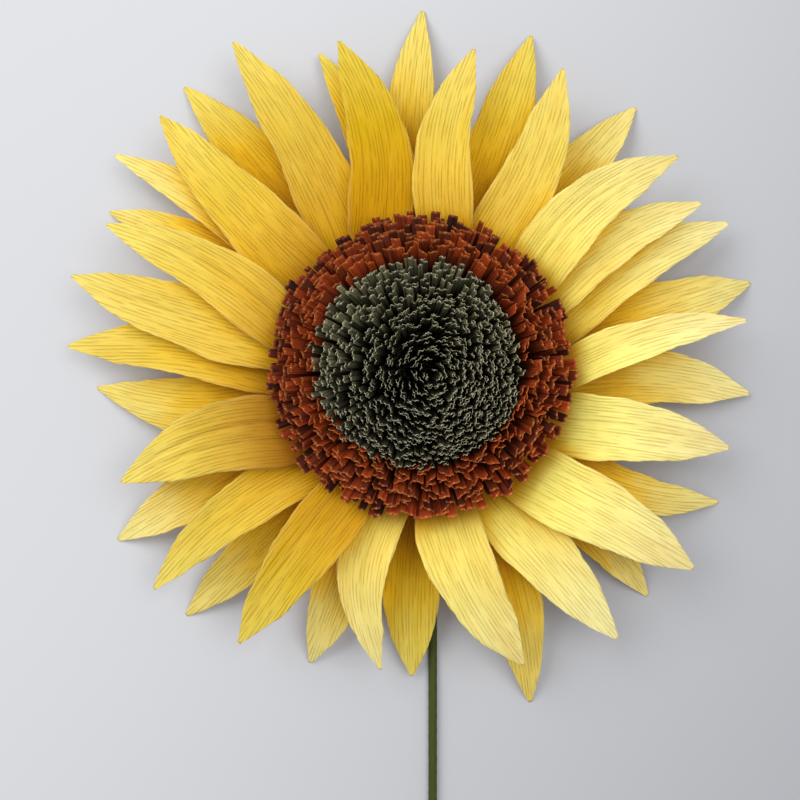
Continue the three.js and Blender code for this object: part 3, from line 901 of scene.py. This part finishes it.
def addTube(name, start, end, spacing, radiusAt, material, height):
    sides = stemLook["sides"]
    count = int((end - start) / spacing) + 1
    points, faces, uv, wind = [], [], [], []
    for step in range(count):
        run = start + (end - start) * step / (count - 1)
        centre, ahead = stemPoint(run, height)
        side = Vector((1, 0, 0))
        other = ahead.cross(side)
        for corner in range(sides):
            angle = 2 * math.pi * corner / sides
            radius, phase = radiusAt(run, angle)
            spot = centre + (side * math.cos(angle) + other * math.sin(angle)) * radius
            points.append((headX + spot.x, headY + spot.y, spot.z))
            uv.append((angle * stemLook["radius"], run))
            wind.append(phase)
    for step in range(count - 1):
        for corner in range(sides):
            a, b = step * sides + corner, step * sides + (corner + 1) % sides
            faces.append((a, b, b + sides, a + sides))
    faces.append(tuple(reversed(range(sides))))
    faces.append(tuple((count - 1) * sides + corner for corner in range(sides)))
    piece = addMesh(name, points, faces, uv, {"wind": wind})
    piece.data.materials.append(material)
    return piece


leafFinish = {
    "dark": linear(46, 53, 16), "light": linear(69, 78, 26), "turnEdge": linear(40, 48, 16),
    "groove": linear(46, 54, 18), "grain": (1900, 500, 0.07), "bumpStrength": 0.6, "bumpDistance": 0.0003,
    "roughness": 0.8, "gloss": 0.25,
}
wireFinish = {"dark": linear(120, 121, 124), "light": linear(170, 171, 173), "streaks": 900.0}


def makeLeafPaper():
    material, g = newMaterial("leafCrepe")
    look, wind = leafFinish, attribute(g, "wind")
    lines, waves = crepeHeight(g, *look["grain"])
    body = mixColour(g, waves, look["dark"], look["light"])
    body = mixColour(g, smoothStep(g, wind, 0.8, 1.0) * 0.55, body, look["turnEdge"])
    body = mixColour(g, smoothStep(g, lines, 0.55, 0.3) * 0.4, body, look["groove"])
    bump = crepeBump(g, look["bumpStrength"], look["bumpDistance"], lines * 0.5 + waves * 0.5)
    paper = g.node("ShaderNodeBsdfPrincipled", None, {
        "Base Color": body, "Roughness": look["roughness"], "Specular IOR Level": look["gloss"], "Normal": bump})
    finish(g, paper)
    return material


def makeWire():
    material, g = newMaterial("stemWire")
    where = g.node("ShaderNodeTexCoord", out="Object")
    streaks = g.node("ShaderNodeTexNoise", None, {
        "Vector": where, "Scale": wireFinish["streaks"], "Detail": 3.0})
    shell = g.node("ShaderNodeBsdfPrincipled", None, {
        "Base Color": mixColour(g, streaks, wireFinish["dark"], wireFinish["light"]),
        "Metallic": 1.0, "Roughness": streaks * 0.3 + 0.25})
    finish(g, shell)
    return material


print("calyx and stem")
leafPaper = makeLeafPaper()
wireMetal = makeWire()
calyx = addCalyx()
calyx.data.materials.append(leafPaper)
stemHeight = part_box("stem_wrap")[0].z + stemLook["radius"]
stemStart = -stemLook["length"] - (stemLook["neckY"] - stemLook["bend"])
bendExtra = stemLook["bend"] * math.pi / 2 - stemLook["bend"]  # the bend's length past its rise
wrapEnd = rollBase - stemLook["rollGap"] - stemHeight + bendExtra
wireEnd = rollBase + stemLook["intoRoll"] - stemHeight + bendExtra


def wrapRadius(run, angle):
    phase = (run / stemLook["windPitch"] - angle / (2 * math.pi)) % 1.0
    rough = noise.noise((math.cos(angle) * 1.5, math.sin(angle) * 1.5, run / mm * 0.35))
    return stemLook["radius"] - stemLook["ridge"] * (1 - phase) * 0.8 - stemLook["roughness"] * (1 - rough), phase


def wireRadius(run, angle):
    return stemLook["wireRadius"], 0.0


wrap = addTube("stem_wrap_paper", stemStart + stemLook["bareEnd"], wrapEnd, stemLook["wrapStep"], wrapRadius,
               leafPaper, stemHeight)
wire = addTube("stem_wire_rod", stemStart, wireEnd, stemLook["wireStep"], wireRadius, wireMetal, stemHeight)
for piece, node, slotName in (
        (calyx, "calyx", "leaf_paper"), (wrap, "stem_wrap", "leaf_paper"), (wire, "stem_wire", "stem_wire")):
    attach(piece, "root")
    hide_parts(node)


# Floor, light and camera

studio = {
    "floorNear": linear(191, 192, 195), "floorFar": linear(158, 159, 163),
    "keyPower": 32.6, "keySize": 1.6, "keyPlace": (-1.15, 0.95, 1.5),
    "fillPower": 13.0, "fillSize": 1.2, "fillPlace": (0.55, 0.35, 1.5),
    "aim": (headX, headY, 0.03), "world": 0.52, "worldColour": (0.97, 0.98, 1.0, 1.0), "floorSize": 40,
    "lens": 45, "sensor": 36, "eye": (headX - 2.0 * mm, headY - 9.3 * mm, 491.9 * mm),
    "gaze": (-0.0185, -0.0103, -0.9998),
}


def addFloor():
    bpy.ops.mesh.primitive_plane_add(size=studio["floorSize"], location=(0, 0, 0))
    floor = bpy.context.object
    floor.name = "floor"
    material, g = newMaterial("paleFloor")
    where = g.node("ShaderNodeTexCoord", out="Object")
    x, y, _ = splitVector(g, where)
    # painted shade: the floor's own colour darkens away from the window
    fall = smoothStep(g, x - y * 0.4, -0.22, 0.34)  # the floor darkens away from the window
    cloud = g.node("ShaderNodeTexNoise", None, {"Vector": where, "Scale": 3.0, "Detail": 1.0})
    colour = mixColour(g, fall + (cloud - 0.5) * 0.1, studio["floorNear"], studio["floorFar"])
    finish(g, g.node("ShaderNodeBsdfPrincipled", None, {
        "Base Color": colour, "Roughness": 0.9, "Specular IOR Level": 0.1}))
    floor.data.materials.append(material)


def addLight(name, power, size, place, aim):
    data = bpy.data.lights.new(name, "AREA")
    data.energy = power
    data.shape = "DISK"
    data.size = size
    lamp = bpy.data.objects.new(name, data)
    bpy.context.scene.collection.objects.link(lamp)
    lamp.location = place
    lamp.rotation_euler = (Vector(aim) - Vector(place)).to_track_quat("-Z", "Y").to_euler()


print("floor, light and camera")
addFloor()
addLight("windowLight", studio["keyPower"], studio["keySize"], studio["keyPlace"], studio["aim"])
addLight("roomFill", studio["fillPower"], studio["fillSize"], studio["fillPlace"], studio["aim"])
world = bpy.data.worlds.new("room")
world.use_nodes = True
background = world.node_tree.nodes["Background"]
background.inputs["Color"].default_value = studio["worldColour"]
background.inputs["Strength"].default_value = studio["world"]
bpy.context.scene.world = world
bpy.context.scene.view_settings.view_transform = "Standard"

cameraData = bpy.data.cameras.new("photoCamera")
cameraData.lens = studio["lens"]
cameraData.sensor_width = studio["sensor"]
camera = bpy.data.objects.new("photoCamera", cameraData)
bpy.context.scene.collection.objects.link(camera)
camera.location = studio["eye"]
ahead = Vector(studio["gaze"]).normalized()
right = ahead.cross(Vector((0, 1, 0))).normalized()
camera.rotation_euler = Matrix((right, right.cross(ahead), -ahead)).transposed().to_euler()
bpy.context.scene.camera = camera
